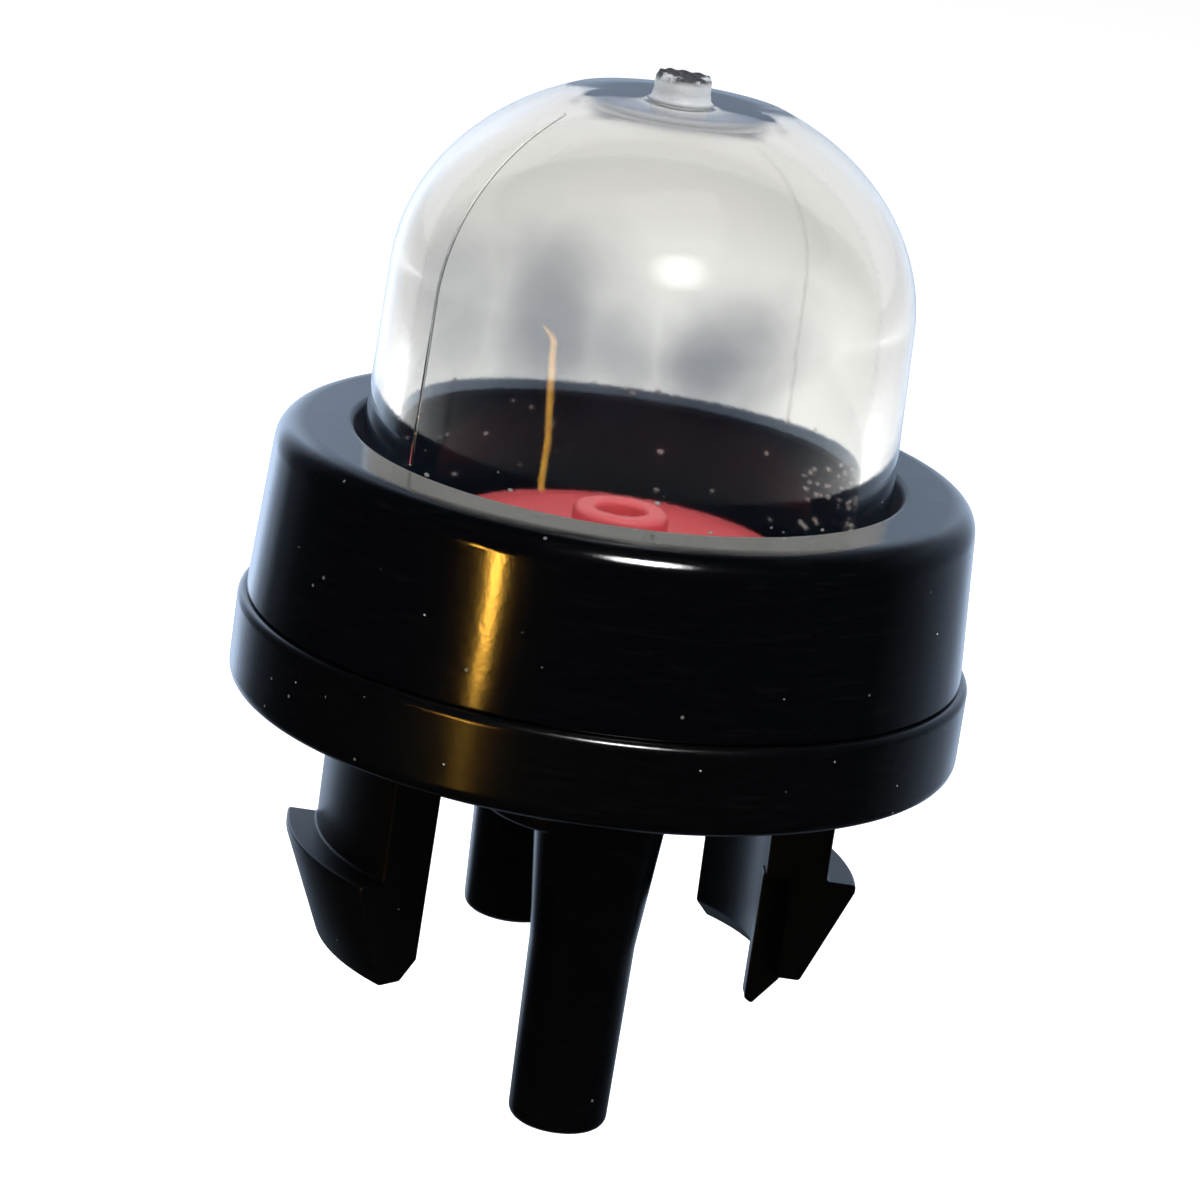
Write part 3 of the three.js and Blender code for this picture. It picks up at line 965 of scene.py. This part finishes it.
class PRIMER_OT_valve(bpy.types.Operator):
    """Make the red valve with its disc, collar, stem and lips"""

    bl_idname = "primer.make_valve"
    bl_label = "Make valve"

    def execute(self, context):
        s = context.scene.primer_valve
        red = red_rubber("red_valve_rubber", tuple(s.red))
        valve = turned("check_valve", valve_profile(s), red, DISC_SIDES)
        finish_piece(valve, "valve_red", "valve")
        self.make_lips(s, red)
        return {"FINISHED"}

    def make_lips(self, s, red):
        """The two lips, from a round body down to a flat edge."""
        top, drop = s.disc_top - 5.0 * MM, 2.4 * MM
        half_width, half_edge = 1.6 * MM, 0.25 * MM
        steps, sides = 8, 48
        turns = [2 * math.pi * i / sides for i in range(sides)]
        bm = bmesh.new()
        rows = []
        for k in range(steps + 1):
            share = k / steps
            depth = half_width * (1 - share) + half_edge * share
            z = top - drop * share
            rows.append(
                [bm.verts.new((half_width * math.cos(a), depth * math.sin(a), z)) for a in turns])
        join_rows(bm, rows)
        mesh = mesh_from(bm, "valve_lips")
        mesh.materials.append(red)
        mesh.set_sharp_from_angle(angle=math.radians(40))
        finish_piece(new_object("valve_lips", mesh), "valve_red")


class PRIMER_OT_dust(bpy.types.Operator):
    """Scatter dust specks inside the dome's foot and on the black parts"""

    bl_idname = "primer.make_dust"
    bl_label = "Make dust"

    def execute(self, context):
        s = context.scene.primer_dust
        speck = dust_speck("pale_dust")
        turn, inner = 2 * math.pi, 6.86 * MM
        rim_low, rim_high = (11.0 * MM, 0.6 * MM), (11.0 * MM, 2.3 * MM)
        foot, seat = (inner, 4.9 * MM), 4.82 * MM
        ring_low, ring_high = (10.77 * MM, 3.0 * MM), (10.5 * MM, 7.2 * MM)
        # Name, slot, low and high edge, start and sweep in radians, specks per square metre, size
        bands = [
            ("dust_in_dome", "bulb_clear", foot, (inner, 9.0 * MM), 0, turn, 7.0e5, 1.0),
            ("dust_in_corner", "bulb_clear", foot, (inner, 8.2 * MM), -1.1, 1.3, 4.5e6, 1.15),
            ("dust_on_seat", "base_black", (5.7 * MM, seat), (6.5 * MM, seat), 0, turn, 2.0e6, 0.9),
            ("dust_on_ring", "ring_black", ring_low, ring_high, 0, turn, 6.0e4, 0.36),
            ("dust_on_flange", "base_black", rim_low, rim_high, 0, turn, 1.6e6, 0.34),
        ]
        for i, (name, slot, low_edge, high_edge, start, sweep, density, scale) in enumerate(bands):
            band = new_object(name + "_band", self.band(low_edge, high_edge, start, sweep))
            add_nodes(band, "Scattered specks", {
                "Density": density, "Size": s.size * scale, "Seed": s.seed + i, "Material": speck})
            finish_piece(plain(band, name), slot)
        return {"FINISHED"}

    def band(self, low, high, start, sweep):
        """A strip of a turned surface, only for placing the specks."""
        steps = 48
        points = []
        for k in range(steps + 1):
            points += [about_axis(r, start + sweep * k / steps, z) for r, z in (low, high)]
        faces = [(2 * k, 2 * k + 2, 2 * k + 3, 2 * k + 1) for k in range(steps)]
        return mesh_of("band", points, (), faces)


class PRIMER_OT_studio(bpy.types.Operator):
    """Set up the floor, the cards, the soft lamps and the camera"""

    bl_idname = "primer.make_studio"
    bl_label = "Make studio"

    def execute(self, context):
        s = context.scene.primer_studio
        self.make_camera(context.scene, s)
        self.make_floor(s)
        self.make_cards(s)
        self.make_key_card(s)
        self.make_amber_card(s)
        self.make_lamps(s)
        self.make_world(context.scene)
        context.scene.view_settings.view_transform = "Standard"
        return {"FINISHED"}

    def direction(self, azimuth, elevation):
        return Vector((math.sin(azimuth) * math.cos(elevation),
                       -math.cos(azimuth) * math.cos(elevation), math.sin(elevation)))

    def make_camera(self, scene, s):
        data = bpy.data.cameras.new("camera")
        camera = bpy.data.objects.new("camera", data)
        scene.collection.objects.link(camera)
        data.lens = s.lens
        data.sensor_width = 36.0
        data.clip_start, data.clip_end = 0.005, 10.0
        target = Vector((0.186, 1.02, 3.216)) * MM
        camera.location = self.direction(s.azimuth, s.elevation) * s.distance
        aim = (target - camera.location).to_track_quat("-Z", "Y")
        camera.rotation_mode = "QUATERNION"
        camera.rotation_quaternion = aim @ Quaternion((0, 0, 1), s.roll)
        scene.camera = camera

    def make_floor(self, s):
        """A wide pale floor that glows where it is seen or reflected, so that it renders white."""
        bm = bmesh.new()
        bmesh.ops.create_circle(bm, cap_ends=True, radius=3.0, segments=96)
        mesh = mesh_from(bm, "floor")
        for vertex in mesh.vertices:
            vertex.co.z = -s.floor_height
        floor = new_object("floor", mesh)
        material, tree, shader, _ = started_material("pale_floor", tuple(s.floor_colour))
        feed(tree, shader, {
            "Roughness": 0.9, "Specular IOR Level": 0.0, "Base Color": (*s.floor_colour, 1.0),
            "Emission Color": WHITE,
            "Emission Strength": maths(tree, "MULTIPLY", seen_directly(tree), 0.35)})
        mesh.materials.append(material)

    def make_cards(self, s):
        """A round card that only reflections see: dark in front, grey-blue at the sides and back."""
        radius, low, high = 75 * MM, 0.5 * MM - s.floor_height, 62 * MM
        sides = 96
        turns = [2 * math.pi * k / sides for k in range(sides)]
        bm = bmesh.new()
        rings = [[bm.verts.new((0, 0, low))] * sides]
        rings += [[bm.verts.new(about_axis(radius, a, z)) for a in turns] for z in (low, high)]
        rings.append([bm.verts.new((0, 0, high))] * sides)
        for one, two in zip(rings, rings[1:]):
            for k in range(sides):
                corners = [one[k], one[k - 1], two[k - 1], two[k]]
                bm.faces.new(list(dict.fromkeys(corners)))
        mesh = mesh_from(bm, "soft_cards")
        mesh.materials.append(self.card_material(s))
        self.add_card("soft_cards", mesh)

    def add_card(self, name, mesh):
        card = new_object(name, mesh)
        card.visible_camera = False
        card.visible_shadow = False
        card.visible_transmission = False
        card.visible_diffuse = False

    def card_material(self, s):
        """Brightness by direction from the part. The middle of the ramp is the camera's side."""
        material, tree, shader, at = glowing("card_tones", (1.0, 1.0, 1.0))
        front = -math.pi / 2 + s.azimuth
        turned_at = add_node(tree, "ShaderNodeVectorRotate", {"rotation_type": "Z_AXIS"}, {
            "Vector": at, "Angle": -front})
        parts = add_node(tree, "ShaderNodeSeparateXYZ", inputs={0: turned_at}).outputs
        angle = maths(tree, "ARCTAN2", parts[1], parts[0])
        share = maths(tree, "MULTIPLY_ADD", angle, 1 / (2 * math.pi), 0.5)
        ramp = add_node(tree, "ShaderNodeValToRGB", inputs={"Fac": share})
        ramp.color_ramp.interpolation = "LINEAR"
        while len(ramp.color_ramp.elements) < len(CARD_TONES):
            ramp.color_ramp.elements.new(0.5)
        for element, (turn, tone) in zip(ramp.color_ramp.elements, CARD_TONES):
            element.position = 0.5 + turn / 360
            element.color = (*(tone * share for share in CARD_TINT), 1.0)
        high = map_range(tree, parts[2], 0.040, 0.062, low=1.0, high=0.3)
        low = map_range(tree, parts[2], -0.046, -0.026, low=0.06, high=1.0)
        fade = maths(tree, "MULTIPLY", high, low)
        feed(tree, shader, {"Emission Color": ramp.outputs["Color"], "Emission Strength": fade})
        return material

    def make_key_card(self, s):
        """The soft box above the camera, as glossy parts see it. It fades out towards its edges."""
        turn, rise = s.azimuth + math.radians(11), math.radians(46)
        centre = self.direction(turn, rise) * CARD_DISTANCE
        half_width, half_height = 13 * MM, 8 * MM
        across = Vector((math.cos(turn), math.sin(turn), 0)) * half_width
        up = centre.cross(across).normalized() * half_height
        corners = [(-1, -1), (1, -1), (1, 1), (-1, 1)]
        points = [centre + across * i + up * j for i, j in corners]
        mesh = mesh_of("key_card", points, (), [(0, 1, 2, 3)])
        material, tree, shader, at = glowing("key_glow", (1.0, 1.0, 1.0))
        away = vector_maths(tree, "DISTANCE", at, tuple(centre))
        glow = map_range(tree, away, 2 * MM, half_width, low=s.key_glow, high=0.0, smooth=True)
        feed(tree, shader, {"Emission Strength": glow})
        mesh.materials.append(material)
        self.add_card("key_card", mesh)

    def make_amber_card(self, s):
        """A narrow, slightly bent amber card to the left. It gives the upright golden streak."""
        points, half_width = [], 1.2 * MM
        for height, turn in AMBER_BENDS:
            a = s.azimuth + math.radians(turn)
            across = Vector((math.cos(a), math.sin(a), 0)) * half_width
            centre = self.direction(a, 0.0) * CARD_DISTANCE + Vector((0, 0, height * MM))
            points += [centre - across, centre + across]
        faces = [(2 * k, 2 * k + 1, 2 * k + 3, 2 * k + 2) for k in range(len(AMBER_BENDS) - 1)]
        mesh = mesh_of("amber_card", points, (), faces)
        material, tree, shader, at = glowing("amber_glow", (1.0, 0.52, 0.07))
        parts = add_node(tree, "ShaderNodeSeparateXYZ", inputs={0: at}).outputs
        glow = map_range(tree, parts[2], -6 * MM, -2 * MM, low=s.amber_glow, high=s.amber_glow * 12)
        feed(tree, shader, {"Emission Strength": glow})
        mesh.materials.append(material)
        self.add_card("amber_card", mesh)

    def make_lamps(self, s):
        """Soft lamps: name, degrees from the camera, rise, distance, size, power and colour."""
        rows = [
            ("key_lamp", 8, 54, 0.30, (0.22, 0.14), 0.4, (1.0, 0.985, 0.96)),
            ("left_lamp", -118, 20, 0.30, (0.20, 0.20), 0.5, (0.92, 0.96, 1.0)),
            ("right_lamp", 104, 18, 0.30, (0.20, 0.20), 0.5, (0.93, 0.97, 1.0)),
            ("top_lamp", 20, 75, 0.34, (0.20, 0.20), 0.5, (1.0, 1.0, 1.0)),
        ]
        for name, turn, rise, away, size, power, tone in rows:
            data = bpy.data.lights.new(name, "AREA")
            data.shape = "RECTANGLE"
            data.size, data.size_y = size
            data.energy = power
            data.color = tone
            lamp = bpy.data.objects.new(name, data)
            lamp.visible_camera = False
            lamp.visible_glossy = False
            lamp.visible_transmission = name in ("key_lamp", "top_lamp")
            bpy.context.scene.collection.objects.link(lamp)
            place = self.direction(s.azimuth + math.radians(turn), math.radians(rise)) * away
            lamp.location = place
            lamp.rotation_mode = "QUATERNION"
            lamp.rotation_quaternion = (-place).to_track_quat("-Z", "Y")

    def make_world(self, scene):
        """White where it is seen or reflected, and a softer white as light."""
        world = bpy.data.worlds.new("studio")
        world.use_nodes = True
        scene.world = world
        tree = world.node_tree
        background = tree.nodes["Background"]
        strength = maths(tree, "MULTIPLY_ADD", seen_directly(tree), 0.4, 0.6)
        feed(tree, background, {"Color": WHITE, "Strength": strength})


class PRIMER_PT_panel(bpy.types.Panel):
    """The steps that make the primer bulb"""

    bl_label = "Primer Bulb"
    bl_idname = "PRIMER_PT_panel"
    bl_space_type = "VIEW_3D"
    bl_region_type = "UI"
    bl_category = "Primer Bulb"

    def draw(self, context):
        for name in SETTINGS:
            box = self.layout.box()
            group = getattr(context.scene, name)
            for key in group.__annotations__:
                box.prop(group, key)
        for operator in OPERATORS:
            self.layout.operator(operator.bl_idname)


SETTINGS = {
    "primer_base": BaseSettings,
    "primer_ring": RingSettings,
    "primer_dome": DomeSettings,
    "primer_valve": ValveSettings,
    "primer_dust": DustSettings,
    "primer_studio": StudioSettings,
}
OPERATORS = (
    PRIMER_OT_studio,
    PRIMER_OT_base,
    PRIMER_OT_legs,
    PRIMER_OT_ring,
    PRIMER_OT_valve,
    PRIMER_OT_dome,
    PRIMER_OT_dust,
)


def register():
    for group in SETTINGS.values():
        bpy.utils.register_class(group)
    for operator in OPERATORS:
        bpy.utils.register_class(operator)
    bpy.utils.register_class(PRIMER_PT_panel)
    for name, group in SETTINGS.items():
        setattr(bpy.types.Scene, name, bpy.props.PointerProperty(type=group))


def unregister():
    for name in SETTINGS:
        delattr(bpy.types.Scene, name)
    bpy.utils.unregister_class(PRIMER_PT_panel)
    for operator in reversed(OPERATORS):
        bpy.utils.unregister_class(operator)
    for group in reversed(list(SETTINGS.values())):
        bpy.utils.unregister_class(group)


def main():
    register()
    for operator in OPERATORS:
        group, name = operator.bl_idname.split(".")
        getattr(getattr(bpy.ops, group), name)()


if __name__ == "__main__":
    main()
